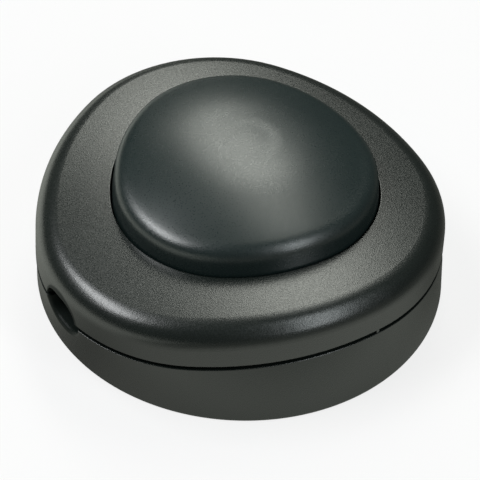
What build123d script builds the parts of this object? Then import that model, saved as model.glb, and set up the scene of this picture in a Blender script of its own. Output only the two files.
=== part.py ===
from build123d import *
import os
from math import atan2, cos, degrees, radians, sin, sqrt

# Foot switch: a push-on, push-off switch for a lamp cord, in millimetres.
# The Z axis is the button's axis, the underside lies at Z = 0, and the cord runs along X.

# Housing sizes
ring_width = 10.9            # three-lobed outline of the housing to the button's opening
lobe_rise = 1.5              # a lobe stands out, and a flat lies in, by this much
outline_shift = -1.2         # centre of that outline along X, from the button's axis
foot_spread = 0.35           # the underside is round, and wider than that outline's mean by this much
foot_shift_x = 0.25          # centre of the underside, from the button's axis
foot_shift_y = -0.45
foot_edge = 0.3              # rounding round the underside
base_height = 10.55          # underside to the parting plane
parting_gap = 0.8            # shadow line between the two shells
key_width = 0.5              # locating key that bridges the shadow line
key_recess = 0.1
key_angle = 297.8            # degrees round the outline
cover_side = 7.15            # parting plane to the shoulder
edge_radius = 4.0            # rounding of the shoulder
ring_radius = 185.0          # the ring is part of a large ball, so that it climbs to the opening
wall = 2.4
floor_thickness = 2.2
lip_thickness = 1.0          # inner lip of the base, which closes the shadow line
lip_height = 1.2
lip_clearance = 0.2

# Cord inlet and clamp sizes
inlet_width = 7.8
inlet_height = 6.4
inlet_edge = 0.6             # rounding of the inlets' lower halves, outside
cord_line = -11.0            # Y of the cord, which lies in the parting plane
cord_radius = 3.0            # passage through the clamp
clamp_wall_gap = 0.2         # clamp's outer end to the housing's wall
clamp_width = 3.6
clamp_screw_offset = 4.9
clamp_thickness = 2.4
clamp_head_height = 0.9
clamp_seat_rise = 1.4        # clamp seat above the cord's axis

# Button sizes
button_radius = 20.8
button_lobe_rise = 0.74
button_gap = 0.3             # running gap between the button and the cover
button_proud = 7.6           # crown above the ring
crown_radius = 65.0
crown_thickness = 4.4
rim_radius = 2.3
button_draft = 5.0           # degrees
button_wall = 2.2
travel = 4.0                 # the wheel's teeth are as long as this needs
collar_depth = 3.8           # guide collar below the ring's edge
collar_wall = 1.4
hook_width = 4.0
hook_reach = 2.0
hook_thickness = 1.2
stop_gap = 0.3               # hooks to the collar, at rest

# Ratchet rotor and axle sizes
axle_height = 8.0
wheel_root = 2.8
wheel_teeth = 4
wheel_width = 5.0
drum_radius = 4.0
drum_length = 5.5
axle_radius = 1.2
axle_clearance = 0.05
cheek_gap = 0.3              # rotor to the cheeks that carry its axle
cheek_thickness = 1.8
cheek_width = 7.0

# Contact and terminal sizes
band_thickness = 0.5
band_width = 4.0
band_angle = 220.0
contact_gap = 0.3
contact_radius = 1.2
contact_head = 0.7
contact_shank = 0.75
contact_tail = 0.5
blade_thickness = 0.4
blade_height = 8.6
terminal_length = 6.0
terminal_height = 6.4
terminal_inset = 9.5         # near face of a terminal from the rotor's axle
connector_length = 12.0
connector_reach = 11.5       # centre of the neutral connector along -X
wire_radius = 1.4
wire_height = 2.4

# Bridge, plunger and spring sizes
bridge_gap = 0.5             # wheel tips to the plate above
bridge_thickness = 1.5
bridge_radius = 10.5
bridge_screw_x = -3.0
bridge_screw_y = 12.6
pillar_radius = 2.4
spring_radius = 8.0
spring_wire = 0.9
spring_turns = 3
spring_seat_gap = 0.05
spring_fit = 0.35            # spring to the boss and the disc that centre it
boss_height = 1.0
plunger_thickness = 1.8
pawl_width = 4.0
pawl_thickness = 1.2
pawl_lash = 0.45             # pawl to the tooth below it, at rest
pawl_overlap = 0.2           # pawl's reach over the tooth's tip
pawl_slot_gap = 0.4

# Screw sizes
screw_radius = 1.25
screw_fit = 0.05             # screw to the hole that it is driven into
screw_clearance = 0.35       # screw to a hole that it passes through
small_screw_radius = 1.0
head_height = 1.5
head_radius = 2.2
slot_width = 0.7
slot_depth = 0.5
housing_boss_radius = 2.4
housing_boss_gap = 1.5       # boss to the housing's wall
housing_head_recess = 3.0
housing_head_radius = 2.0
housing_screw_bite = 5.5     # length of screw in the cover

# Radii and places that follow from those sizes
outline_radius = button_radius + button_gap + ring_width
foot_radius = outline_radius + foot_spread
foot_centre = (foot_shift_x, foot_shift_y)
boss_circle = outline_radius - lobe_rise - wall - housing_boss_gap - housing_boss_radius
clamp_end_circle = outline_radius + lobe_rise - wall - clamp_wall_gap - clamp_width / 2
clamp_reach = sqrt(clamp_end_circle**2 - (cord_line - clamp_screw_offset) ** 2) + outline_shift

# Heights that follow from those sizes
base_rim = base_height - parting_gap / 2
cover_rim = base_height + parting_gap / 2
shoulder_height = base_height + cover_side
ring_drop = (outline_radius**2 - button_radius**2) / 2 / ring_radius
ring_height = shoulder_height + ring_drop
button_top = ring_height + button_proud
button_ceiling = button_top - crown_thickness
collar_end = ring_height - collar_depth
hook_top = collar_end - stop_gap
skirt_end = hook_top - hook_thickness
half_stroke_angle = 180 / wheel_teeth / 2
wheel_tip = travel / 2 / sin(radians(half_stroke_angle))
bridge_seat = axle_height + wheel_tip + bridge_gap
bridge_top = bridge_seat + bridge_thickness
clamp_seat = base_height + clamp_seat_rise
shell_ceiling = shoulder_height - wall

# The wheel's driven tooth starts half a stroke above the axle and ends half a stroke below it
pawl_inner = wheel_tip * cos(radians(half_stroke_angle)) - pawl_overlap
pawl_tip = axle_height + travel / 2 + pawl_lash

LOBE_SPREAD = 2.85           # distance of a lobe arc's centre, in whole lobe heights
LOBE_ANGLES = (90, 210, 330)
LOBE_STEP = 120
LOBE_HALF = 40.0             # half the angle that one lobe arc takes up on a round outline


def lobed_face(mean_radius, rise, shift=0.0):
    """Return a three-lobed face of six tangent arcs, with its centre moved along X."""
    height = 2 * rise
    lobe_distance = LOBE_SPREAD * height
    flat_distance = height * (2 * lobe_distance - height) / (lobe_distance - 2 * height)
    lobe_radius = mean_radius + rise - lobe_distance
    flat_radius = mean_radius - rise + flat_distance
    joint = atan2(lobe_distance + flat_distance / 2, flat_distance * sqrt(3) / 2)
    lobe_half = 90 - degrees(joint)
    with BuildSketch() as face:
        with BuildLine():
            for angle in LOBE_ANGLES:
                lobe = Vector(shift, 0) + Vector(lobe_distance, 0).rotate(Axis.Z, angle)
                flat = Vector(shift, 0) + Vector(flat_distance, 0).rotate(Axis.Z, angle + 2 * LOBE_STEP)
                CenterArc(lobe, lobe_radius, angle - lobe_half, 2 * lobe_half)
                CenterArc(flat, flat_radius, angle + lobe_half, LOBE_STEP - 2 * lobe_half)
        make_face()
    return face.sketch


def foot_face(radius):
    """Return a round face whose edge is split where a lobed outline's arcs meet."""
    with BuildSketch() as face:
        with BuildLine():
            for angle in LOBE_ANGLES:
                CenterArc(foot_centre, radius, angle - LOBE_HALF, 2 * LOBE_HALF)
                CenterArc(foot_centre, radius, angle + LOBE_HALF, LOBE_STEP - 2 * LOBE_HALF)
        make_face()
    return face.sketch


def slotted_screw(seat, length, shank_radius, top_radius, top_height):
    """Return a screw that points down, with the underside of its slotted head at the seat."""
    with BuildPart(Plane(seat)) as screw:
        Cylinder(top_radius, top_height, align=(Align.CENTER, Align.CENTER, Align.MIN))
        Cylinder(shank_radius, length, align=(Align.CENTER, Align.CENTER, Align.MAX))
        with Locations((0, 0, top_height)):
            Box(
                3 * top_radius,
                slot_width,
                slot_depth,
                align=(Align.CENTER, Align.CENTER, Align.MAX),
                mode=Mode.SUBTRACT,
            )
    return screw.part


def at_mouth(edge):
    """Tell whether an edge of the base lies on the outside of a cord inlet's lower half."""
    place = edge.center()
    reach = (place - Vector(outline_shift, 0, place.Z)).length
    level = base_height - inlet_height < place.Z < base_rim - inlet_edge / 2
    return level and reach > outline_radius and abs(place.Y - cord_line) < inlet_width / 2


# Base: round at the floor, three-lobed at the parting line
with BuildPart() as base:
    with BuildSketch():
        add(foot_face(foot_radius))
    with BuildSketch(Plane.XY.offset(base_rim)):
        add(lobed_face(outline_radius, lobe_rise, outline_shift))
    loft(ruled=True)
    fillet(base.faces().sort_by(Axis.Z)[0].edges(), foot_edge)
    with BuildSketch(Plane.XY.offset(floor_thickness)):
        add(foot_face(foot_radius - wall))
    with BuildSketch(Plane.XY.offset(base_rim)):
        add(lobed_face(outline_radius - wall, lobe_rise, outline_shift))
    loft(ruled=True, mode=Mode.SUBTRACT)

    # Inner lip that closes the shadow line
    with BuildSketch(Plane.XY.offset(base_rim)):
        add(lobed_face(outline_radius - wall + lip_thickness, lobe_rise, outline_shift))
        add(lobed_face(outline_radius - wall, lobe_rise, outline_shift), mode=Mode.SUBTRACT)
    extrude(amount=base_height + lip_height - base_rim)

    # Locating key that bridges the shadow line
    with BuildSketch(Plane.XY.offset(base_rim)):
        with Locations((outline_shift, 0)):
            Rectangle(2 * outline_radius, key_width, key_angle, align=(Align.MIN, Align.CENTER))
        add(lobed_face(outline_radius - key_recess, lobe_rise, outline_shift), mode=Mode.INTERSECT)
        add(lobed_face(outline_radius - wall, lobe_rise, outline_shift), mode=Mode.SUBTRACT)
    extrude(amount=parting_gap)

    # Bosses of the housing screws, with head recesses from below
    with BuildSketch(Plane.XY.offset(floor_thickness)):
        with PolarLocations(boss_circle, 3, start_angle=30):
            Circle(housing_boss_radius + screw_clearance)
    extrude(amount=base_height - floor_thickness)
    with BuildSketch():
        with PolarLocations(boss_circle, 3, start_angle=30):
            Circle(screw_radius + screw_clearance)
    extrude(amount=base_height, mode=Mode.SUBTRACT)
    with BuildSketch():
        with PolarLocations(boss_circle, 3, start_angle=30):
            Circle(housing_head_radius + screw_clearance)
    extrude(amount=housing_head_recess, mode=Mode.SUBTRACT)

    # Pillars of the bridge plate
    with BuildSketch(Plane.XY.offset(floor_thickness)):
        with Locations((bridge_screw_x, bridge_screw_y), (bridge_screw_x, -bridge_screw_y)):
            Circle(pillar_radius)
    extrude(amount=bridge_seat - floor_thickness)
    with BuildSketch(Plane.XY.offset(bridge_seat)):
        with Locations((bridge_screw_x, bridge_screw_y), (bridge_screw_x, -bridge_screw_y)):
            Circle(small_screw_radius + screw_fit)
    extrude(amount=floor_thickness - bridge_seat, mode=Mode.SUBTRACT)

    # Cheeks that carry the rotor's axle
    left_cheek = -wheel_width / 2 - cheek_gap - cheek_thickness
    right_cheek = wheel_width / 2 + drum_length + cheek_gap
    with BuildSketch(Plane.XY.offset(floor_thickness)):
        with Locations((left_cheek, 0), (right_cheek, 0)):
            Rectangle(cheek_thickness, cheek_width, align=(Align.MIN, Align.CENTER))
    extrude(amount=bridge_seat - floor_thickness)
    with BuildSketch(Plane.YZ.offset(left_cheek)):
        with Locations((0, axle_height)):
            Circle(axle_radius + axle_clearance)
    extrude(amount=right_cheek + cheek_thickness - left_cheek, mode=Mode.SUBTRACT)

    # Cradles under the cord clamps
    with BuildSketch(Plane.XY.offset(floor_thickness)):
        with Locations((-clamp_reach, cord_line), (clamp_reach, cord_line)):
            SlotCenterToCenter(2 * clamp_screw_offset, clamp_width, rotation=90)
    extrude(amount=clamp_seat - floor_thickness)
    with BuildSketch(Plane.XY.offset(clamp_seat)):
        with Locations((-clamp_reach, cord_line), (clamp_reach, cord_line)):
            with GridLocations(0, 2 * clamp_screw_offset, 1, 2):
                Circle(small_screw_radius + screw_fit)
    extrude(amount=-clamp_seat / 2, mode=Mode.SUBTRACT)

    # Passage for the cord through the cradles, and its inlets through the wall
    for side in (-1, 1):
        with BuildSketch(Plane.YZ.offset(side * (clamp_reach - clamp_width))):
            with Locations((cord_line, base_height)):
                Circle(cord_radius)
                Rectangle(2 * cord_radius, clamp_thickness, align=(Align.CENTER, Align.MIN))
        extrude(amount=side * 2 * clamp_width, mode=Mode.SUBTRACT)
        with BuildSketch(Plane.YZ.offset(side * (clamp_reach + clamp_width / 2))):
            with Locations((cord_line, base_height)):
                SlotOverall(inlet_width, inlet_height)
        extrude(amount=side * foot_radius / 2, mode=Mode.SUBTRACT)
    fillet(base.edges().filter_by(GeomType.BSPLINE).filter_by(at_mouth), inlet_edge)
base.part.label = "base"

# Cover: side, rounded shoulder and gently domed ring round the button
dome_top = shoulder_height + outline_radius**2 / 2 / ring_radius
with BuildPart() as cover:
    with BuildSketch(Plane.XY.offset(cover_rim)):
        add(lobed_face(outline_radius, lobe_rise, outline_shift))
    extrude(amount=dome_top - cover_rim)
    with Locations((0, 0, dome_top - ring_radius)):
        Sphere(ring_radius, mode=Mode.INTERSECT)
    fillet(cover.faces().sort_by(Axis.Z)[-1].edges(), edge_radius)

    # Hollow below the ring
    with BuildSketch(Plane.XY.offset(cover_rim)):
        add(lobed_face(outline_radius - wall, lobe_rise, outline_shift))
    extrude(amount=shell_ceiling - cover_rim, mode=Mode.SUBTRACT)
    with BuildSketch(Plane.XY.offset(shell_ceiling)):
        add(lobed_face(outline_radius - wall, lobe_rise, outline_shift))
    with BuildSketch(Plane.XY.offset(ring_height - wall)):
        add(lobed_face(button_radius + button_gap + collar_wall, button_lobe_rise))
    loft(ruled=True, mode=Mode.SUBTRACT)

    # Rebate over the base's lip
    with BuildSketch(Plane.XY.offset(cover_rim)):
        add(lobed_face(outline_radius - wall + lip_thickness + lip_clearance, lobe_rise, outline_shift))
    extrude(amount=base_height + lip_height + lip_clearance - cover_rim, mode=Mode.SUBTRACT)

    # Guide collar and opening of the button
    with BuildSketch(Plane.XY.offset(collar_end)):
        add(lobed_face(button_radius + button_gap + collar_wall, button_lobe_rise))
    extrude(amount=ring_height - wall - collar_end)
    with BuildSketch(Plane.XY.offset(collar_end)):
        add(lobed_face(button_radius + button_gap, button_lobe_rise))
    extrude(amount=2 * collar_depth, mode=Mode.SUBTRACT)

    # Bosses that stand on those of the base
    with BuildSketch(Plane.XY.offset(base_height)):
        with PolarLocations(boss_circle, 3, start_angle=30):
            Circle(housing_boss_radius)
    extrude(amount=shoulder_height - wall / 2 - base_height)
    with BuildSketch(Plane.XY.offset(base_height)):
        with PolarLocations(boss_circle, 3, start_angle=30):
            Circle(screw_radius + screw_fit)
    extrude(amount=housing_screw_bite + screw_clearance, mode=Mode.SUBTRACT)

    # Upper halves of the cord inlets
    for side in (-1, 1):
        with BuildSketch(Plane.YZ.offset(side * (clamp_reach + clamp_width / 2))):
            with Locations((cord_line, base_height)):
                SlotOverall(inlet_width, inlet_height)
        extrude(amount=side * foot_radius / 2, mode=Mode.SUBTRACT)
cover.part.label = "cover"

# Push button: drafted wall, spherical crown, rounded rim, hollow skirt and hooks
with BuildPart() as push_button:
    with BuildSketch(Plane.XY.offset(skirt_end)):
        add(lobed_face(button_radius, button_lobe_rise))
    extrude(amount=ring_height - skirt_end)
    with BuildSketch(Plane.XY.offset(ring_height)):
        add(lobed_face(button_radius, button_lobe_rise))
    extrude(amount=button_proud, taper=button_draft)
    with Locations((0, 0, button_top - crown_radius)):
        Sphere(crown_radius, mode=Mode.INTERSECT)
    fillet(push_button.faces().sort_by(Axis.Z)[-1].edges(), rim_radius)
    with BuildSketch(Plane.XY.offset(skirt_end)):
        add(lobed_face(button_radius - button_wall, button_lobe_rise))
    extrude(amount=button_ceiling - skirt_end, mode=Mode.SUBTRACT)
    with BuildSketch(Plane.XY.offset(skirt_end)):
        with PolarLocations(button_radius - button_wall / 2, 3, start_angle=60):
            Rectangle(button_wall / 2 + hook_reach, hook_width, align=(Align.MIN, Align.CENTER))
    extrude(amount=hook_thickness)
    with BuildSketch(Plane.XY.offset(button_ceiling)):
        Circle(small_screw_radius + screw_fit)
    extrude(amount=crown_thickness / 2, mode=Mode.SUBTRACT)
push_button.part.label = "push_button"

# Plunger: disc inside the spring's top, with the pawl that drives the wheel
plunger_radius = spring_radius - spring_wire / 2 - spring_fit
with BuildPart() as plunger:
    with BuildSketch(Plane.XY.offset(button_ceiling - plunger_thickness)):
        Circle(plunger_radius)
    extrude(amount=plunger_thickness)
    with BuildSketch(Plane.XY.offset(pawl_tip)):
        with Locations((0, pawl_inner)):
            Rectangle(pawl_width, pawl_thickness, align=(Align.CENTER, Align.MIN))
    extrude(amount=button_ceiling - plunger_thickness - pawl_tip)
    with BuildSketch(Plane.XY.offset(button_ceiling - plunger_thickness)):
        Circle(small_screw_radius + screw_clearance)
    extrude(amount=plunger_thickness, mode=Mode.SUBTRACT)
    with BuildSketch(Plane.XY.offset(button_ceiling - plunger_thickness)):
        Circle(2 * small_screw_radius + screw_clearance)
    extrude(amount=plunger_thickness / 2, mode=Mode.SUBTRACT)
plunger.part.label = "plunger"

# Screw that holds the plunger up to the button, its head sunk in the disc
with BuildPart(Plane.XY.offset(button_ceiling - plunger_thickness / 2)) as plunger_screw:
    Cylinder(2 * small_screw_radius, plunger_thickness / 2, align=(Align.CENTER, Align.CENTER, Align.MAX))
    Cylinder(
        small_screw_radius,
        (plunger_thickness + crown_thickness) / 2 - screw_clearance,
        align=(Align.CENTER, Align.CENTER, Align.MIN),
    )
plunger_screw.part.label = "plunger_screw"

# Return spring: plain coil between the bridge plate and the button
spring_foot = bridge_top + spring_wire / 2 + spring_seat_gap
spring_rise = button_ceiling - bridge_top - spring_wire - 2 * spring_seat_gap
with BuildPart() as return_spring:
    with BuildLine() as coil:
        Helix(spring_rise / spring_turns, spring_rise, spring_radius, center=(0, 0, spring_foot))
    with BuildSketch(Plane(origin=coil.line @ 0, z_dir=coil.line % 0)):
        Circle(spring_wire / 2)
    sweep(is_frenet=True)
return_spring.part.label = "return_spring"

# Bridge plate: covers the rotor, seats the spring and lets the pawl through
with BuildPart() as bridge_plate:
    with BuildSketch(Plane.XY.offset(bridge_seat)):
        Circle(bridge_radius)
        with Locations((bridge_screw_x, 0)):
            SlotCenterToCenter(2 * bridge_screw_y, 2 * pillar_radius, rotation=90)
    extrude(amount=bridge_thickness)
    with BuildSketch(Plane.XY.offset(bridge_top)):
        Circle(plunger_radius)
    extrude(amount=boss_height)
    with BuildSketch(Plane.XY.offset(bridge_seat)):
        with Locations((0, pawl_inner - pawl_slot_gap)):
            Rectangle(
                pawl_width + 2 * pawl_slot_gap,
                pawl_thickness + 2 * pawl_slot_gap,
                align=(Align.CENTER, Align.MIN),
            )
        with Locations((bridge_screw_x, bridge_screw_y), (bridge_screw_x, -bridge_screw_y)):
            Circle(small_screw_radius + screw_clearance)
    extrude(amount=bridge_thickness + boss_height, mode=Mode.SUBTRACT)
bridge_plate.part.label = "bridge_plate"

# Ratchet rotor: saw-toothed wheel and contact drum in one moulding
wheel_start = -wheel_width / 2
drum_start = wheel_width / 2
tooth_angles = [half_stroke_angle - 360 / wheel_teeth * tooth for tooth in range(wheel_teeth)]
with BuildPart() as ratchet_rotor:
    with BuildSketch(Plane.YZ.offset(wheel_start)):
        with Locations((0, axle_height)):
            with BuildLine():
                corners = []
                for angle in tooth_angles:
                    corners.append(Vector(wheel_root, 0).rotate(Axis.Z, angle))
                    corners.append(Vector(wheel_tip, 0).rotate(Axis.Z, angle))
                Polyline(*[corner + Vector(0, axle_height) for corner in corners], close=True)
            make_face()
    extrude(amount=wheel_width)
    with BuildSketch(Plane.YZ.offset(drum_start)):
        with Locations((0, axle_height)):
            Circle(drum_radius)
    extrude(amount=drum_length)
    with BuildSketch(Plane.YZ.offset(wheel_start)):
        with Locations((0, axle_height)):
            Circle(axle_radius + axle_clearance)
    extrude(amount=wheel_width + drum_length, mode=Mode.SUBTRACT)
ratchet_rotor.part.label = "ratchet_rotor"

# Contact band: open brass ring on the drum, joining both blades at rest
band_start = drum_start + (drum_length - band_width) / 2
band_first = 90 - band_angle / 2
with BuildPart() as contact_band:
    with BuildSketch(Plane.YZ.offset(band_start)):
        with BuildLine():
            outer = CenterArc((0, axle_height), drum_radius + band_thickness, band_first, band_angle)
            inner = CenterArc((0, axle_height), drum_radius, band_first, band_angle)
            Line(outer @ 0, inner @ 0)
            Line(outer @ 1, inner @ 1)
        make_face()
    extrude(amount=band_width)
contact_band.part.label = "contact_band"

# Axle: plain steel pin through both cheeks
with BuildPart() as rotor_axle:
    with BuildSketch(Plane.YZ.offset(left_cheek)):
        with Locations((0, axle_height)):
            Circle(axle_radius)
    extrude(amount=right_cheek + cheek_thickness - left_cheek)
rotor_axle.part.label = "rotor_axle"

pieces = [base, cover, push_button, plunger, plunger_screw, return_spring, bridge_plate]
pieces += [ratchet_rotor, contact_band, rotor_axle]

# Spring blades, contacts and terminals in front of the drum and behind it
leaf_near = drum_radius + band_thickness + contact_gap + contact_head
terminal_far = terminal_inset + terminal_length
terminal_seat = floor_thickness + blade_thickness
band_middle = band_start + band_width / 2
terminal_screw_places = []
for name, side in (("front", -1), ("rear", 1)):
    edge = Align.MAX if side < 0 else Align.MIN
    contact_plane = Plane(
        origin=(band_middle, side * leaf_near, axle_height), x_dir=(1, 0, 0), z_dir=(0, -side, 0)
    )

    with BuildPart() as blade:
        with BuildSketch(Plane.YZ.offset(band_start)):
            with Locations((side * leaf_near, floor_thickness)):
                Rectangle(blade_thickness, blade_height, align=(edge, Align.MIN))
                Rectangle(terminal_far - leaf_near, blade_thickness, align=(edge, Align.MIN))
        extrude(amount=band_width)
        with BuildSketch(contact_plane):
            Circle(contact_shank + screw_fit)
        extrude(amount=-blade_thickness, mode=Mode.SUBTRACT)
    blade.part.label = f"{name}_blade"

    with BuildPart(contact_plane) as contact:
        Cylinder(contact_radius, contact_head, align=(Align.CENTER, Align.CENTER, Align.MIN))
        fillet(contact.faces().sort_by(Axis((0, 0, 0), contact_plane.z_dir))[-1].edges(), contact_head / 2)
        Cylinder(contact_shank, blade_thickness, align=(Align.CENTER, Align.CENTER, Align.MAX))
        with Locations((0, 0, -blade_thickness)):
            Cylinder(contact_radius, contact_tail, align=(Align.CENTER, Align.CENTER, Align.MAX))
    contact.part.label = f"{name}_contact"

    terminal_middle = (band_middle, side * (terminal_inset + terminal_length / 2), terminal_seat)
    with BuildPart(Plane(terminal_middle)) as terminal:
        Box(
            terminal_length,
            terminal_length,
            terminal_height,
            align=(Align.CENTER, Align.CENTER, Align.MIN),
        )
        with BuildSketch(Plane(terminal_middle).offset(wire_height)):
            Circle(screw_radius + screw_fit)
        extrude(amount=terminal_height - wire_height, mode=Mode.SUBTRACT)
        with BuildSketch(Plane(origin=terminal_middle, x_dir=(1, 0, 0), z_dir=(0, -side, 0))):
            with Locations((0, side * wire_height)):
                Circle(wire_radius)
        extrude(amount=terminal_length, both=True, mode=Mode.SUBTRACT)
    terminal.part.label = f"{name}_terminal"
    terminal_screw_places.append(Vector(terminal_middle) + Vector(0, 0, terminal_height))
    pieces += [blade, contact, terminal]

# Neutral connector: passes the unswitched conductor straight through
connector_middle = (-connector_reach, 0, floor_thickness)
connector_screw_y = connector_length / 4
with BuildPart(Plane(connector_middle)) as neutral_connector:
    Box(
        terminal_length,
        connector_length,
        terminal_height,
        align=(Align.CENTER, Align.CENTER, Align.MIN),
    )
    with BuildSketch(Plane(connector_middle).offset(wire_height)):
        with GridLocations(0, 2 * connector_screw_y, 1, 2):
            Circle(screw_radius + screw_fit)
    extrude(amount=terminal_height - wire_height, mode=Mode.SUBTRACT)
    with BuildSketch(Plane.XZ):
        with Locations((-connector_reach, floor_thickness + wire_height)):
            Circle(wire_radius)
    extrude(amount=connector_length, both=True, mode=Mode.SUBTRACT)
neutral_connector.part.label = "neutral_connector"
for side in (-1, 1):
    place = Vector(connector_middle) + Vector(0, side * connector_screw_y, terminal_height)
    terminal_screw_places.append(place)

# Terminal screws
terminal_screw_length = terminal_height - wire_height - wire_radius
with BuildPart() as terminal_screws:
    for place in terminal_screw_places:
        add(slotted_screw(place, terminal_screw_length, screw_radius, head_radius, head_height))
terminal_screws.part.label = "terminal_screws"

# Screws of the bridge plate
with BuildPart() as bridge_screws:
    for side in (-1, 1):
        seat = (bridge_screw_x, side * bridge_screw_y, bridge_top)
        length = bridge_thickness + bridge_seat / 2
        add(slotted_screw(seat, length, small_screw_radius, head_radius, head_height))
bridge_screws.part.label = "bridge_screws"
pieces += [neutral_connector, terminal_screws, bridge_screws]

# Cord clamps: bars with a shallow groove over the cord, screwed to the cradles
for name, side in (("left", -1), ("right", 1)):
    with BuildPart() as clamp:
        with BuildSketch(Plane.XY.offset(clamp_seat)):
            with Locations((side * clamp_reach, cord_line)):
                SlotCenterToCenter(2 * clamp_screw_offset, clamp_width, rotation=90)
        extrude(amount=clamp_thickness)
        with BuildSketch(Plane.YZ.offset(side * (clamp_reach - clamp_width))):
            with Locations((cord_line, base_height)):
                Circle(cord_radius)
        extrude(amount=side * 2 * clamp_width, mode=Mode.SUBTRACT)
        with BuildSketch(Plane.XY.offset(clamp_seat)):
            with Locations((side * clamp_reach, cord_line)):
                with GridLocations(0, 2 * clamp_screw_offset, 1, 2):
                    Circle(small_screw_radius + screw_clearance)
        extrude(amount=clamp_thickness, mode=Mode.SUBTRACT)
    clamp.part.label = f"{name}_cord_clamp"
    pieces.append(clamp)

clamp_head_radius = clamp_width / 2 - screw_clearance / 2
with BuildPart() as clamp_screws:
    for side in (-1, 1):
        for end in (-1, 1):
            clamp_end = cord_line + end * clamp_screw_offset
            seat = (side * clamp_reach, clamp_end, clamp_seat + clamp_thickness)
            length = clamp_thickness + clamp_seat / 3
            add(slotted_screw(seat, length, small_screw_radius, clamp_head_radius, clamp_head_height))
clamp_screws.part.label = "clamp_screws"

# Housing screws, driven up from the underside into the cover
with BuildPart() as housing_screws:
    with BuildSketch(Plane.XY.offset(housing_head_recess)):
        with PolarLocations(boss_circle, 3, start_angle=30):
            Circle(screw_radius)
    extrude(amount=base_height + housing_screw_bite - housing_head_recess)
    with BuildSketch(Plane.XY.offset(housing_head_recess)):
        with PolarLocations(boss_circle, 3, start_angle=30):
            Circle(housing_head_radius)
    extrude(amount=-head_height)
    with BuildSketch(Plane.XY.offset(housing_head_recess - head_height)):
        with PolarLocations(boss_circle, 3, start_angle=30):
            Rectangle(3 * housing_head_radius, slot_width)
            Rectangle(slot_width, 3 * housing_head_radius)
    extrude(amount=slot_depth, mode=Mode.SUBTRACT)
housing_screws.part.label = "housing_screws"
pieces += [clamp_screws, housing_screws]

os.makedirs("parts", exist_ok=True)
for piece in pieces:
    export_step(piece.part, f"parts/{piece.part.label}.step")
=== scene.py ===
# %% [markdown]
# A foot switch for a lamp's cord
# The imported CAD model is loaded first and stays where it is: two black shells, a big button and the
# ratchet switch inside them. Everything below works in metres, in the same frame as the CAD.

# %% Load the frame
import math

import bpy
from mathutils import Matrix, Vector


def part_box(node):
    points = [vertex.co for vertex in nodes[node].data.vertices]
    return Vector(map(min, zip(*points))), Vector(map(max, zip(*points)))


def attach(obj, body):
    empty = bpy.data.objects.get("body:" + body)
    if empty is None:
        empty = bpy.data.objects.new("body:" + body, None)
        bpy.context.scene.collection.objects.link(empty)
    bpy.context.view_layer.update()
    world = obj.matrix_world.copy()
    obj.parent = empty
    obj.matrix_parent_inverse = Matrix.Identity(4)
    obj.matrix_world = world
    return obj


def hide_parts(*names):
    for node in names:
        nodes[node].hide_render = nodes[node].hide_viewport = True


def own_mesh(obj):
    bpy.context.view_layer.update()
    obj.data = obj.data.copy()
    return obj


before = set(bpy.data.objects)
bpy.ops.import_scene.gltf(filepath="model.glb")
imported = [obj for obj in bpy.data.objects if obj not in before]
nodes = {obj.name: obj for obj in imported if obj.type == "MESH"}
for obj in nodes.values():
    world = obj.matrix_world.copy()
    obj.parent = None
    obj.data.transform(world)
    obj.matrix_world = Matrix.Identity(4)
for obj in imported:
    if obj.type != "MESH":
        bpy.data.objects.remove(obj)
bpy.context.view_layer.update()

# %% [markdown]
# A finish is a node material. A few helpers keep the finishes short: one makes a new material, one adds a
# node with its settings, and the others add a noise, spread a value over a range or mix two colours.
# The noise reads Object coordinates, which are in metres and stay fixed to the piece, so a grain keeps
# its real size.

# %% Helpers for finishes
ALL_WAYS = (1.0, 1.0, 1.0)


def new_finish(name):
    """Makes a material and gives back the material, its node tree and its shader."""
    finish = bpy.data.materials.new(name)
    finish.use_nodes = True
    tree = finish.node_tree
    return finish, tree, tree.nodes["Principled BSDF"]


def add(tree, kind, **values):
    """Adds a node and sets its properties and inputs by name."""
    node = tree.nodes.new(kind)
    for key, value in values.items():
        if key in node.inputs:
            node.inputs[key].default_value = value
        else:
            setattr(node, key, value)
    return node


def speckle(tree, size, detail=2.0, stretch=ALL_WAYS):
    """A noise whose blobs are about size metres across, on Object coordinates."""
    place = add(tree, "ShaderNodeTexCoord")
    turn = add(tree, "ShaderNodeMapping", Scale=stretch)
    noise = add(tree, "ShaderNodeTexNoise", Scale=1.0 / size, Detail=detail)
    tree.links.new(place.outputs["Object"], turn.inputs["Vector"])
    tree.links.new(turn.outputs["Vector"], noise.inputs["Vector"])
    return noise.outputs["Fac"]


def ramp(tree, source, low, high, start=0.3, end=0.7):
    """Goes from low to high while a value goes from start to end, with soft ends."""
    spread = add(tree, "ShaderNodeMapRange", interpolation_type="SMOOTHSTEP")
    for key, value in zip(("From Min", "From Max", "To Min", "To Max"), (start, end, low, high)):
        spread.inputs[key].default_value = value
    tree.links.new(source, spread.inputs["Value"])
    return spread.outputs["Result"]


def tint(tree, source, dark, pale):
    """Mixes two colours by a value."""
    mix = add(tree, "ShaderNodeMixRGB")
    mix.inputs["Color1"].default_value = (*dark, 1.0)
    mix.inputs["Color2"].default_value = (*pale, 1.0)
    tree.links.new(source, mix.inputs["Fac"])
    return mix.outputs["Color"]


print("helpers for finishes ready")

# %% [markdown]
# More helpers: one reckons with values, one finds what feeds a socket, one raises a grain as a bump over
# the bumps that are there already, and two measure where a place of the piece lies.

# %% Helpers for bumps and distances
def reckon(tree, operation, *values):
    """A math node on outputs of other nodes or on plain numbers."""
    node = add(tree, "ShaderNodeMath", operation=operation)
    for socket, value in zip(node.inputs, values):
        if isinstance(value, float):
            socket.default_value = value
        else:
            tree.links.new(value, socket)
    return node.outputs["Value"]


def fed_by(socket):
    """The output that a linked socket is fed by."""
    return socket.links[0].from_socket


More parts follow.
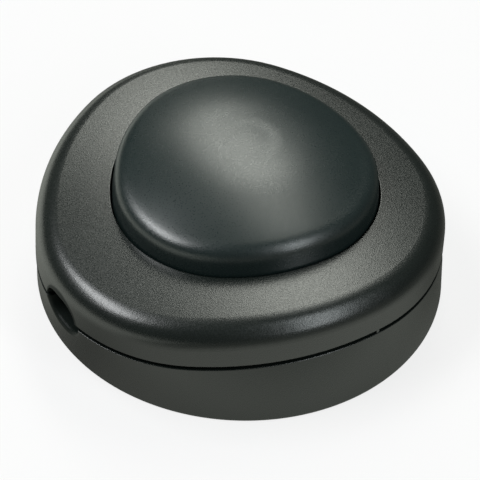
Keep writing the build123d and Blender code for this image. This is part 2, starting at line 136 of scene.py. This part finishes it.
def raise_grain(tree, shader, source, height):
    """Lifts the surface by a value, as a bump of that height in metres, over any earlier bump."""
    normal = shader.inputs["Normal"]
    bump = add(tree, "ShaderNodeBump", Distance=height)
    tree.links.new(source, bump.inputs["Height"])
    if normal.is_linked:
        tree.links.new(fed_by(normal), bump.inputs["Normal"])
    tree.links.new(bump.outputs["Normal"], normal)


def from_point(tree, point, counted=ALL_WAYS):
    """The distance in metres from a point of the piece, in the axes that are counted."""
    place = add(tree, "ShaderNodeTexCoord")
    kept = add(tree, "ShaderNodeVectorMath", operation="MULTIPLY")
    kept.inputs[1].default_value = counted
    apart = add(tree, "ShaderNodeVectorMath", operation="DISTANCE")
    apart.inputs[1].default_value = point
    tree.links.new(place.outputs["Object"], kept.inputs[0])
    tree.links.new(kept.outputs["Vector"], apart.inputs[0])
    return apart.outputs["Value"]


def along(tree, direction):
    """How far a place of the piece lies from its origin in a direction, in metres."""
    place = add(tree, "ShaderNodeTexCoord")
    share = add(tree, "ShaderNodeVectorMath", operation="DOT_PRODUCT")
    share.inputs[1].default_value = direction
    tree.links.new(place.outputs["Object"], share.inputs[0])
    return share.outputs["Value"]


print("helpers for bumps and distances ready")

# %% [markdown]
# The shells and the button are moulded in black plastic. The mould was spark-eroded, which leaves a fine
# even grain: it shows as a soft speckle in the highlights and makes the black look satin. The grain is a
# quarter of a millimetre across and only some thousandths high, so it is a bump and not real geometry.
# A broad, faint change of colour keeps the large faces from looking like one flat paint. Every edge is
# eased a little, as a mould leaves it, so that it catches the light.

# %% Moulded black
GRAIN_SIZE = 0.00023
HANDLED_SIZE = 0.011
ROUGH_SWING = 0.04
EDGE_SAMPLES = 6


def moulded_black(name, dark, pale, rough, grain_height, edge_radius):
    """Black plastic from a spark-eroded mould, with its gloss still to be set."""
    finish, tree, shader = new_finish(name)
    handled = speckle(tree, HANDLED_SIZE, detail=4.0)
    grain = speckle(tree, GRAIN_SIZE, detail=1.0)
    tree.links.new(tint(tree, ramp(tree, handled, 0.0, 1.0), dark, pale), shader.inputs["Base Color"])
    grain_rough = ramp(tree, grain, rough + ROUGH_SWING, rough - ROUGH_SWING)
    tree.links.new(grain_rough, shader.inputs["Roughness"])
    eased_edge = add(tree, "ShaderNodeBevel", samples=EDGE_SAMPLES, Radius=edge_radius)
    tree.links.new(eased_edge.outputs["Normal"], shader.inputs["Normal"])
    raise_grain(tree, shader, grain, grain_height)
    return finish, tree, shader


print("moulded black ready")

# %% [markdown]
# The two shells have sharp edges, which show as thin lines of light. The passage for the cord was shaped
# by a core that was never polished, so it is rougher than the outside. Its reflection is also turned down
# there, which paints shade into that recess.

# %% Housing plastic
SHELL_EDGE = 0.00022
HOUSING_GLOSS = 0.85
PASSAGE_LINE = (0.0, -0.011, 0.01055)
PASSAGE_RADIUS = 0.0040
PASSAGE_EDGE = 0.0005
PASSAGE_ROUGH = 0.48
PASSAGE_SHADED_GLOSS = 0.18

housing_finish, tree, shader = moulded_black(
    "grained_black",
    dark=(0.0083, 0.0123, 0.0107),
    pale=(0.0101, 0.0147, 0.0128),
    rough=0.29,
    grain_height=0.000012,
    edge_radius=SHELL_EDGE,
)
from_cord = from_point(tree, PASSAGE_LINE, counted=(0.0, 1.0, 1.0))
passage_reach = (PASSAGE_RADIUS, PASSAGE_RADIUS + PASSAGE_EDGE)
least_rough = ramp(tree, from_cord, PASSAGE_ROUGH, 0.0, *passage_reach)
rougher = reckon(tree, "MAXIMUM", fed_by(shader.inputs["Roughness"]), least_rough)
tree.links.new(rougher, shader.inputs["Roughness"])
# Painted shade: the reflection is turned down inside the passage for the cord.
passage_painted_shade = ramp(tree, from_cord, PASSAGE_SHADED_GLOSS, HOUSING_GLOSS, *passage_reach)
tree.links.new(passage_painted_shade, shader.inputs["Specular IOR Level"])
print("made", housing_finish.name)

# %% [markdown]
# The button is moulded in a smoother black. Its crown is thick in the middle, where the screw of the
# plunger goes in, and thick plastic shrinks as it cools: that left a shallow round sink mark, which the
# light shows as a faint ring. It is a second bump, less than a tenth of a millimetre deep. The rim runs
# softly into the skirt, so its edge is eased more than the shells' edges are. The strength of the
# reflection is painted: high in the middle of the crown and along the rim, lower in the belt between
# them. This paints brighter highlights in the middle and on the rim, and dims them in the belt.

# %% Button plastic
BUTTON_EDGE = 0.0018
SINK_CENTRE = (0.0014, 0.0019, 0.0268)
SINK_INNER = 0.0028
SINK_OUTER = 0.0056
SINK_DEPTH = 0.00006
# Painted highlight levels: the strength of the reflection in the middle of the crown, in the belt and at
# the rim.
MIDDLE_GLOSS = 0.80
BELT_GLOSS = 0.53
BELT_INNER = 0.007
BELT_OUTER = 0.013
EDGE_GLOSS = 0.98
EDGE_LEVEL = 0.0236
CROWN_LEVEL = 0.0245

button_finish, tree, shader = moulded_black(
    "satin_black",
    dark=(0.0104, 0.0200, 0.0197),
    pale=(0.0125, 0.0229, 0.0224),
    rough=0.31,
    grain_height=0.0000045,
    edge_radius=BUTTON_EDGE,
)
sink = ramp(tree, from_point(tree, SINK_CENTRE), 0.0, 1.0, SINK_INNER, SINK_OUTER)
raise_grain(tree, shader, sink, SINK_DEPTH)
# Painted highlight: the reflection is stronger in the middle of the crown and along the rim, and weaker in
# the belt between them.
from_middle = from_point(tree, (SINK_CENTRE[0], SINK_CENTRE[1], 0.0), counted=(1.0, 1.0, 0.0))
belt_gloss = ramp(tree, from_middle, MIDDLE_GLOSS, BELT_GLOSS, BELT_INNER, BELT_OUTER)
above_floor = from_point(tree, (0.0, 0.0, 0.0), counted=(0.0, 0.0, 1.0))
painted_rim_highlight = ramp(tree, above_floor, EDGE_GLOSS - BELT_GLOSS, 0.0, EDGE_LEVEL, CROWN_LEVEL)
painted_highlight_level = reckon(tree, "ADD", belt_gloss, painted_rim_highlight)
tree.links.new(painted_highlight_level, shader.inputs["Specular IOR Level"])
print("made", button_finish.name)

# %% [markdown]
# Inside, the plunger, the bridge plate and the ratchet wheel are natural white mouldings, a little
# yellowish and cloudy, and the two cord clamps are black ones with a coarser grain.

# %% Mouldings inside
MOULDING_CLOUD = 0.006
MOULDING_SWING = 0.06


def inner_moulding(name, dark, pale, rough, grain_size, grain_height):
    """A plain moulding whose colour is cloudy and whose gloss follows a fine grain."""
    finish, tree, shader = new_finish(name)
    cloud = speckle(tree, MOULDING_CLOUD, detail=3.0)
    grain = speckle(tree, grain_size)
    tree.links.new(tint(tree, ramp(tree, cloud, 0.0, 1.0), dark, pale), shader.inputs["Base Color"])
    grain_rough = ramp(tree, grain, rough + MOULDING_SWING, rough - MOULDING_SWING)
    tree.links.new(grain_rough, shader.inputs["Roughness"])
    raise_grain(tree, shader, grain, grain_height)
    return finish


white_finish = inner_moulding(
    "natural_white_moulding",
    dark=(0.70, 0.675, 0.60),
    pale=(0.79, 0.77, 0.70),
    rough=0.46,
    grain_size=0.0005,
    grain_height=0.000008,
)
clamp_finish = inner_moulding(
    "clamp_moulding",
    dark=(0.014, 0.014, 0.0135),
    pale=(0.022, 0.022, 0.021),
    rough=0.50,
    grain_size=0.0004,
    grain_height=0.000012,
)
print("made", white_finish.name, clamp_finish.name)

# %% [markdown]
# The metals differ in colour, in gloss and in the marks that their making left: zinc plating is cloudy,
# drawn wire has a fine even grain, rolled strip and cut brass have fine lines one way, and silver goes
# dull in patches. The lines are a noise that is stretched one way.

# %% Metals
METAL_CLOUD = 0.003
ALONG_X = (0.08, 1.0, 1.0)
ALONG_Z = (1.0, 1.0, 0.08)


def worked_metal(name, dark, pale, rough_range, line_size, line_height, stretch=ALL_WAYS):
    """Bare or plated metal with cloudy colour and fine lines from its making."""
    finish, tree, shader = new_finish(name)
    cloud = speckle(tree, METAL_CLOUD, detail=4.0)
    lines = speckle(tree, line_size, detail=3.0, stretch=stretch)
    tree.links.new(tint(tree, ramp(tree, cloud, 0.0, 1.0), dark, pale), shader.inputs["Base Color"])
    tree.links.new(ramp(tree, lines, *rough_range), shader.inputs["Roughness"])
    shader.inputs["Metallic"].default_value = 1.0
    raise_grain(tree, shader, lines, line_height)
    return finish


zinc_finish = worked_metal(
    "zinc_plating",
    dark=(0.54, 0.55, 0.55),
    pale=(0.67, 0.67, 0.64),
    rough_range=(0.26, 0.40),
    line_size=0.0004,
    line_height=0.000004,
)
wire_finish = worked_metal(
    "drawn_wire",
    dark=(0.36, 0.36, 0.37),
    pale=(0.50, 0.50, 0.51),
    rough_range=(0.24, 0.38),
    line_size=0.0002,
    line_height=0.000004,
)
brass_finish = worked_metal(
    "cut_brass",
    dark=(0.66, 0.47, 0.19),
    pale=(0.79, 0.60, 0.28),
    rough_range=(0.22, 0.38),
    line_size=0.0003,
    line_height=0.000004,
    stretch=ALONG_X,
)
bronze_finish = worked_metal(
    "rolled_bronze",
    dark=(0.63, 0.40, 0.22),
    pale=(0.74, 0.49, 0.28),
    rough_range=(0.24, 0.36),
    line_size=0.0002,
    line_height=0.000003,
    stretch=ALONG_Z,
)
silver_finish = worked_metal(
    "dull_silver",
    dark=(0.74, 0.73, 0.69),
    pale=(0.88, 0.88, 0.86),
    rough_range=(0.14, 0.30),
    line_size=0.0004,
    line_height=0.000002,
)
print("made", [m.name for m in (zinc_finish, wire_finish, brass_finish, bronze_finish, silver_finish)])

# %% [markdown]
# Every CAD node that stays gets its finish. The spring and all screws but the plunger's are not among
# them, because modelled ones take their places below.

# %% Finishes on the CAD nodes
def dress(finish, *names):
    """Gives a finish to CAD nodes."""
    for name in names:
        nodes[name].data.materials.clear()
        nodes[name].data.materials.append(finish)


dress(housing_finish, "base", "cover")
dress(button_finish, "push_button")
dress(white_finish, "plunger", "bridge_plate", "ratchet_rotor")
dress(clamp_finish, "left_cord_clamp", "right_cord_clamp")
dress(zinc_finish, "plunger_screw", "rotor_axle")
dress(brass_finish, "contact_band", "front_terminal", "rear_terminal", "neutral_connector")
dress(bronze_finish, "front_blade", "rear_blade")
dress(silver_finish, "front_contact", "rear_contact")
print("dressed the shells, the button and the parts inside")

# %% [markdown]
# Three tools serve the screws and the spring: one applies the modifiers of a piece, one picks faces in
# edit mode, and one winds a flat outline up round the Z axis, as a thread or a coil is wound.

# %% Modelling tools
def apply_modifiers(piece):
    """Applies every modifier of a piece in order."""
    bpy.context.view_layer.objects.active = piece
    for name in [m.name for m in piece.modifiers]:
        bpy.ops.object.modifier_apply(modifier=name)


def pick_faces(piece, wanted):
    """Goes to edit mode with just the faces selected that a test accepts."""
    bpy.ops.object.mode_set(mode="EDIT")
    bpy.ops.mesh.select_mode(type="FACE")
    bpy.ops.mesh.select_all(action="DESELECT")
    bpy.ops.object.mode_set(mode="OBJECT")
    for face in piece.data.polygons:
        face.select = wanted(face)
    bpy.ops.object.mode_set(mode="EDIT")


def wind_up(corners, start, width, height, pitch, turns, steps):
    """Winds a flat outline up round the Z axis and closes both ends."""
    stood_up = (math.pi / 2, 0, 0)
    bpy.ops.object.select_all(action="DESELECT")
    bpy.ops.mesh.primitive_circle_add(vertices=corners, radius=1.0, location=start, rotation=stood_up)
    wound = bpy.context.object
    wound.scale = (width, height, 1.0)
    bpy.ops.object.transform_apply(location=True, rotation=True, scale=True)
    wind = wound.modifiers.new("wind", "SCREW")
    wind.axis, wind.angle, wind.screw_offset = "Z", 2 * math.pi, pitch
    wind.steps = wind.render_steps = steps
    wind.iterations = turns
    apply_modifiers(wound)
    bpy.ops.object.mode_set(mode="EDIT")
    bpy.ops.mesh.select_all(action="SELECT")
    bpy.ops.mesh.fill_holes(sides=corners)
    bpy.ops.mesh.normals_make_consistent(inside=False)
    bpy.ops.object.mode_set(mode="OBJECT")
    return wound


print("modelling tools ready")

# %% [markdown]
# The screws are plain solids in the CAD model: a drum for the head and a rod for the shank. Real ones have
# a rounded head with a driver slot, a thinner core, a thread and a blunt tip. One function models such a
# screw at the origin with the tools of edit mode: the head's underside is inset and pulled down twice for
# the core and the tip, a bevel rounds the edges, a bar cuts each slot, and a small lozenge is wound up
# along the core for the thread. The thread stays within the CAD shank, so it fits the same holes.

# %% One screw
HEAD_SIDES = 40
CORE_SHARE = 0.78
TIP_LENGTH = 0.0008
TIP_SHARE = 0.45
SOFT_SHARE = 0.14
SOFT_STEPS = 3
SOFT_ANGLE = math.radians(50)
BAR_SHARE = 2.4
PITCH = 0.0009
THREAD_SHARE = 0.42
THREAD_CORNERS = 4
TURN_STEPS = 20
SCREW_SMOOTH = math.radians(32)


def screw_blank(head_radius, head_height, shank_radius, length):
    """A rounded head on a core with a blunt tip, pointing down from the origin."""
    bpy.ops.object.select_all(action="DESELECT")
    bpy.ops.mesh.primitive_cylinder_add(
        vertices=HEAD_SIDES, radius=head_radius, depth=head_height, location=(0, 0, head_height / 2)
    )
    blank = bpy.context.object
    bpy.ops.object.transform_apply(location=True, rotation=False, scale=False)
    pick_faces(blank, lambda face: face.normal.z < -0.9)
    bpy.ops.mesh.inset(thickness=head_radius - CORE_SHARE * shank_radius)
    bpy.ops.mesh.extrude_region_move(TRANSFORM_OT_translate={"value": (0, 0, TIP_LENGTH - length)})
    bpy.ops.mesh.extrude_region_move(TRANSFORM_OT_translate={"value": (0, 0, -TIP_LENGTH)})
    bpy.ops.transform.resize(value=(TIP_SHARE, TIP_SHARE, 1.0))
    bpy.ops.object.mode_set(mode="OBJECT")
    soften = blank.modifiers.new("soften", "BEVEL")
    soften.width, soften.segments = SOFT_SHARE * head_height, SOFT_STEPS
    soften.limit_method, soften.angle_limit = "ANGLE", SOFT_ANGLE
    apply_modifiers(blank)
    return blank


def cut_slots(blank, head_radius, head_height, slot, turns):
    """Cuts driver slots of a width and a depth across the head."""
    width, depth = slot
    size = (BAR_SHARE * head_radius, width, 2 * depth)
    top = (0, 0, head_height)
    for turn in turns:
        bpy.ops.object.select_all(action="DESELECT")
        bpy.ops.mesh.primitive_cube_add(size=1.0, location=top, rotation=(0, 0, turn), scale=size)
        bar = bpy.context.object
        cut = blank.modifiers.new("slot", "BOOLEAN")
        cut.operation, cut.object, cut.solver = "DIFFERENCE", bar, "EXACT"
        apply_modifiers(blank)
        bpy.data.objects.remove(bar)


def wind_thread(shank_radius, length):
    """A lozenge wound up along the core."""
    start = (CORE_SHARE * shank_radius, 0, TIP_LENGTH + PITCH / 2 - length)
    width = (1 - CORE_SHARE) * shank_radius
    turns = max(1, int((length - TIP_LENGTH) / PITCH) - 1)
    return wind_up(THREAD_CORNERS, start, width, THREAD_SHARE * PITCH, PITCH, turns, TURN_STEPS)


def model_screw(head_radius, head_height, shank_radius, length, slot, turns):
    """One finished screw at the origin, head up."""
    blank = screw_blank(head_radius, head_height, shank_radius, length)
    cut_slots(blank, head_radius, head_height, slot, turns)
    thread = wind_thread(shank_radius, length)
    bpy.ops.object.select_all(action="DESELECT")
    thread.select_set(True)
    blank.select_set(True)
    bpy.context.view_layer.objects.active = blank
    bpy.ops.object.join()
    bpy.ops.object.shade_smooth_by_angle(angle=SCREW_SMOOTH)
    return blank


print("screw tools ready")

# %% [markdown]
# The screw that was modelled at the origin is copied to its places, and the copies are joined to one
# piece. The three screws that hold the shells together have a cross slot and stand head down in the
# recesses of the underside. Every screw is turned a little differently, as a hand leaves it.

# %% Screws set in their places
def set_screws(name, model, places, over=0.0, turns=(0.0,)):
    """Copies a model to its places, joins the copies to one piece and removes the model."""
    copies = []
    for number, place in enumerate(places):
        copy = bpy.data.objects.new(name, model.data.copy())
        bpy.context.scene.collection.objects.link(copy)
        copy.location = place
        copy.rotation_euler = (over, 0.0, turns[number % len(turns)])
        copies.append(copy)
    bpy.data.objects.remove(model)
    bpy.ops.object.select_all(action="DESELECT")
    for copy in copies:
        copy.select_set(True)
    bpy.context.view_layer.objects.active = copies[0]
    bpy.ops.object.transform_apply(location=True, rotation=True, scale=True)
    bpy.ops.object.join()
    piece = bpy.context.object
    piece.name = name
    piece.data.materials.clear()
    piece.data.materials.append(zinc_finish)
    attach(piece, "housing")
    print(name, len(copies), "screws,", len(piece.data.polygons), "faces")
    return piece


HALF_TURN = math.pi
CROSS_SLOT = (0.0006, 0.0007)
CROSS_TURNS = (0.0, math.pi / 2)
BOSS_CIRCLE = 0.0242
BOSS_ANGLES = (30, 150, 270)
RECESS_DEPTH = 0.003
housing_places = [
    (BOSS_CIRCLE * math.cos(math.radians(a)), BOSS_CIRCLE * math.sin(math.radians(a)), RECESS_DEPTH)
    for a in BOSS_ANGLES
]
cross_screw = model_screw(
    head_radius=0.0020,
    head_height=0.0015,
    shank_radius=0.00125,
    length=0.01305,
    slot=CROSS_SLOT,
    turns=CROSS_TURNS,
)
cross_screws = set_screws(
    "cross_head_screws", cross_screw, housing_places, over=HALF_TURN, turns=(0.3, 1.1, 0.7)
)
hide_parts("housing_screws")

# %% [markdown]
# The screws inside have one plain slot: two hold the bridge plate, four the cord clamps, and four press
# the wires into the brass blocks, one in each terminal and two in the connector.

# %% Slotted screws inside
PLAIN_SLOT = (0.0007, 0.0005)
PLAIN_TURNS = (0.0,)
BOTH_SIDES = (-1, 1)

bridge_screw = model_screw(
    head_radius=0.0022,
    head_height=0.0015,
    shank_radius=0.0010,
    length=0.00837,
    slot=PLAIN_SLOT,
    turns=PLAIN_TURNS,
)
bridge_places = [(-0.003, side * 0.0126, 0.01523) for side in BOTH_SIDES]
bridge_set = set_screws("bridge_plate_screws", bridge_screw, bridge_places, turns=(0.4, 2.0))
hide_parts("bridge_screws")

clamp_screw = model_screw(
    head_radius=0.001625,
    head_height=0.0009,
    shank_radius=0.0010,
    length=0.00638,
    slot=PLAIN_SLOT,
    turns=PLAIN_TURNS,
)
clamp_places = [
    (end * 0.02317, PASSAGE_LINE[1] + side * 0.0049, 0.01435) for end in BOTH_SIDES for side in BOTH_SIDES
]
clamp_set = set_screws("cord_clamp_screws", clamp_screw, clamp_places, turns=(0.2, 1.4, 0.9, 2.6))
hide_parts("clamp_screws")

wire_screw = model_screw(
    head_radius=0.0022,
    head_height=0.0015,
    shank_radius=0.00125,
    length=0.0026,
    slot=PLAIN_SLOT,
    turns=PLAIN_TURNS,
)
terminal_places = [(0.00525, side * 0.0125, 0.0090) for side in BOTH_SIDES]
connector_places = [(-0.0115, side * 0.0030, 0.0086) for side in BOTH_SIDES]
wire_places = terminal_places + connector_places
wire_set = set_screws("wire_screws", wire_screw, wire_places, turns=(0.8, 2.2, 1.2, 0.1))
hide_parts("terminal_screws")

# %% [markdown]
# The return spring is wound again from round wire, between the same two seats as in the CAD model.

# %% Return spring
SPRING_RADIUS = 0.0080
SPRING_WIRE = 0.0009
SPRING_TURNS = 3
WIRE_SIDES = 14
WIRE_STEPS = 56
WIRE_SMOOTH = math.radians(40)

spring_low, spring_high = (corner[2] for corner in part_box("return_spring"))
spring_height = spring_high - spring_low
spring_pitch = (spring_height - SPRING_WIRE) / SPRING_TURNS
spring_start = (SPRING_RADIUS, 0, spring_low + SPRING_WIRE / 2)
spring = wind_up(
    WIRE_SIDES, spring_start, SPRING_WIRE / 2, SPRING_WIRE / 2, spring_pitch, SPRING_TURNS, WIRE_STEPS
)
bpy.ops.object.shade_smooth_by_angle(angle=WIRE_SMOOTH)
spring.name = "coil_spring"
spring.data.materials.append(wire_finish)
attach(spring, "housing")
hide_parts("return_spring")
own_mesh(spring)

# %% [markdown]
# The camera stands where the photographer stood: in front of the switch, a little to its left, and about
# 45 degrees above it, far away with a long lens.

# %% Camera
CAMERA_AZIMUTH = math.radians(-19.4)
CAMERA_HEIGHT = math.radians(44.8)
CAMERA_DISTANCE = 0.5618
CAMERA_ROLL = 0.0534
CAMERA_LENS = 267.5
AIM = Vector((-0.0012, 0.0, 0.0128))
AIM_PIXEL = (232.99, 213.95)
FRAME_SIDE = 480

right = Vector((math.cos(CAMERA_AZIMUTH), math.sin(CAMERA_AZIMUTH), 0.0))
ahead = Vector((-math.sin(CAMERA_AZIMUTH), math.cos(CAMERA_AZIMUTH), 0.0))
back = -ahead * math.cos(CAMERA_HEIGHT) + Vector((0, 0, math.sin(CAMERA_HEIGHT)))
upright = Matrix((right, back.cross(right), back)).transposed()
turned = Matrix.Rotation(CAMERA_ROLL, 3, back) @ upright
camera_data = bpy.data.cameras.new("photo_camera")
camera = bpy.data.objects.new("photo_camera", camera_data)
bpy.context.scene.collection.objects.link(camera)
camera.matrix_world = Matrix.Translation(AIM + back * CAMERA_DISTANCE) @ turned.to_4x4()
camera_data.lens = CAMERA_LENS
camera_data.shift_x = (FRAME_SIDE / 2 - AIM_PIXEL[0]) / FRAME_SIDE
camera_data.shift_y = -(FRAME_SIDE / 2 - AIM_PIXEL[1]) / FRAME_SIDE
bpy.context.scene.camera = camera
print("camera at", [round(v, 4) for v in camera.location])

# %% [markdown]
# The studio: a wide pale floor and soft boxes. The three far ones make one long bent strip of light behind
# the switch, which the button and the ring round it mirror as bright patches. A weaker one carries on to
# the right. One on the left and one at the right front draw the bright lines on the shoulders. Each is
# given by the directions of its two ends, in degrees to the right of the camera's line and above the floor.

# %% Soft boxes
LAMP_DISTANCE = 0.9
LAMP_AIM = Vector((0.0, 0.0, 0.02))
FAR_COLOUR = (0.975, 1.0, 0.92)
HIGH_COLOUR = (0.96, 1.0, 0.95)
LEFT_COLOUR = (0.97, 0.99, 1.0)
RIGHT_COLOUR = (0.92, 0.99, 1.0)


def toward(azimuth, height):
    """The direction that lies so many degrees to the right of the camera's line and above the floor."""
    a, h = math.radians(azimuth), math.radians(height)
    return (right * math.sin(a) + ahead * math.cos(a)) * math.cos(h) + Vector((0, 0, math.sin(h)))


def soft_box(name, one_end, other_end, width, glow, colour):
    """An area lamp that reaches from one direction to another, and is so many degrees wide."""
    start, end = toward(*one_end), toward(*other_end)
    middle = (start + end).normalized()
    lengthwise = (end - start).normalized()
    lamp = bpy.data.lights.new(name, "AREA")
    lamp.shape = "RECTANGLE"
    lamp.size = 2 * LAMP_DISTANCE * math.tan(start.angle(end) / 2)
    lamp.size_y = 2 * LAMP_DISTANCE * math.tan(math.radians(width / 2))
    lamp.energy = glow * math.pi * lamp.size * lamp.size_y
    lamp.color = colour
    box = bpy.data.objects.new(name, lamp)
    bpy.context.scene.collection.objects.link(box)
    aim = Matrix((lengthwise, middle.cross(lengthwise), middle)).transposed()
    box.matrix_world = Matrix.Translation(LAMP_AIM + middle * LAMP_DISTANCE) @ aim.to_4x4()
    box.visible_camera = False
    print(name, "watts", round(lamp.energy, 2))


soft_box("far_soft_box", (-5, 39), (16, 61), width=15, glow=6.0, colour=FAR_COLOUR)
soft_box("far_high_soft_box", (15, 63), (42, 68), width=12, glow=5.8, colour=FAR_COLOUR)
soft_box("far_low_soft_box", (-3, 24), (-14, 39), width=11, glow=4.3, colour=FAR_COLOUR)
soft_box("high_right_soft_box", (44, 69), (82, 72), width=13, glow=1.4, colour=HIGH_COLOUR)
soft_box("left_soft_box", (-120, 50), (-55, 55), width=19, glow=8.8, colour=LEFT_COLOUR)
soft_box("right_soft_box", (138, 6), (121, 58), width=12, glow=5.0, colour=RIGHT_COLOUR)

# %% [markdown]
# The floor is white paper. For the camera it glows a little, so that it comes out white with only a soft
# shadow. What the black plastic mirrors of it is painted. The paper is darker for every ray but the
# camera's, and a glow that only reflections see is laid on it. That glow is brightest in front of the
# switch, nearly gone a hand's breadth away, and has a second pale part farther out on the left. This
# painted reflection is why the sides are dark grey and the shoulder stays black.

# %% Floor
FLOOR_SIDE = 8.0
FLOOR_DROP = 0.0001
PAPER_ROUGH = 0.9
PAPER_PAINTED_DARK = (0.10, 0.10, 0.09)
PAPER_SEEN = (0.90, 0.90, 0.90)
GLOW_MIRRORED = (0.955, 1.0, 0.90)
GLOW_SEEN = (1.0, 1.0, 1.0)
WHITE_SHARE = 0.80
FRONTWARD = right * 0.30 - ahead * 0.954
FRONT_GLOW = (0.10, 0.65)
FRONT_REACH = (0.012, 0.040)
POOL_GLOW = (1.0, 0.14)
POOL_REACH = (0.040, 0.090)
LEFT_GLOW = (0.0, 1.05)
LEFT_REACH = (0.025, 0.068)

bpy.ops.object.select_all(action="DESELECT")
bpy.ops.mesh.primitive_plane_add(size=FLOOR_SIDE, location=(0, 0, -FLOOR_DROP))
floor = bpy.context.object
floor.name = "pale_floor"
floor_finish, tree, shader = new_finish("pale_floor")
shader.inputs["Roughness"].default_value = PAPER_ROUGH
shader.inputs["Specular IOR Level"].default_value = 0.0
path = add(tree, "ShaderNodeLightPath")
seen = path.outputs["Is Camera Ray"]
# Painted shade: the paper is much darker for every ray but the camera's.
tree.links.new(tint(tree, seen, PAPER_PAINTED_DARK, PAPER_SEEN), shader.inputs["Base Color"])
# Painted reflection: a glow that only glossy and transmission rays see, brightest in front of the switch
# and on the left.
painted_front_glow = ramp(tree, along(tree, FRONTWARD), *FRONT_GLOW, *FRONT_REACH)
painted_glow_pool = ramp(tree, from_point(tree, (0, 0, 0)), *POOL_GLOW, *POOL_REACH)
painted_left_glow = ramp(tree, along(tree, -right), *LEFT_GLOW, *LEFT_REACH)
painted_reflection_glow = reckon(tree, "MULTIPLY_ADD", painted_front_glow, painted_glow_pool, painted_left_glow)
mirrored = reckon(tree, "MAXIMUM", path.outputs["Is Glossy Ray"], path.outputs["Is Transmission Ray"])
share = reckon(tree, "MULTIPLY_ADD", seen, WHITE_SHARE, reckon(tree, "MULTIPLY", mirrored, painted_reflection_glow))
glow = add(tree, "ShaderNodeEmission", Strength=1.0)
tree.links.new(tint(tree, seen, GLOW_MIRRORED, GLOW_SEEN), glow.inputs["Color"])
mix = add(tree, "ShaderNodeMixShader")
tree.links.new(share, mix.inputs[0])
tree.links.new(shader.outputs[0], mix.inputs[1])
tree.links.new(glow.outputs[0], mix.inputs[2])
tree.links.new(mix.outputs[0], tree.nodes["Material Output"].inputs["Surface"])
floor.data.materials.append(floor_finish)
print("made", floor.name)

# %% [markdown]
# The room itself is dim, so black plastic looks black. The colours are shown as they are, with the
# standard view transform.

# %% Room
ROOM_COLOUR = (1.0, 1.0, 0.97, 1.0)
ROOM_GLOW = 0.055

world = bpy.data.worlds.new("dim_room")
bpy.context.scene.world = world
world.use_nodes = True
room = world.node_tree.nodes["Background"]
room.inputs["Color"].default_value = ROOM_COLOUR
room.inputs["Strength"].default_value = ROOM_GLOW
bpy.context.scene.view_settings.view_transform = "Standard"
print("made", world.name)
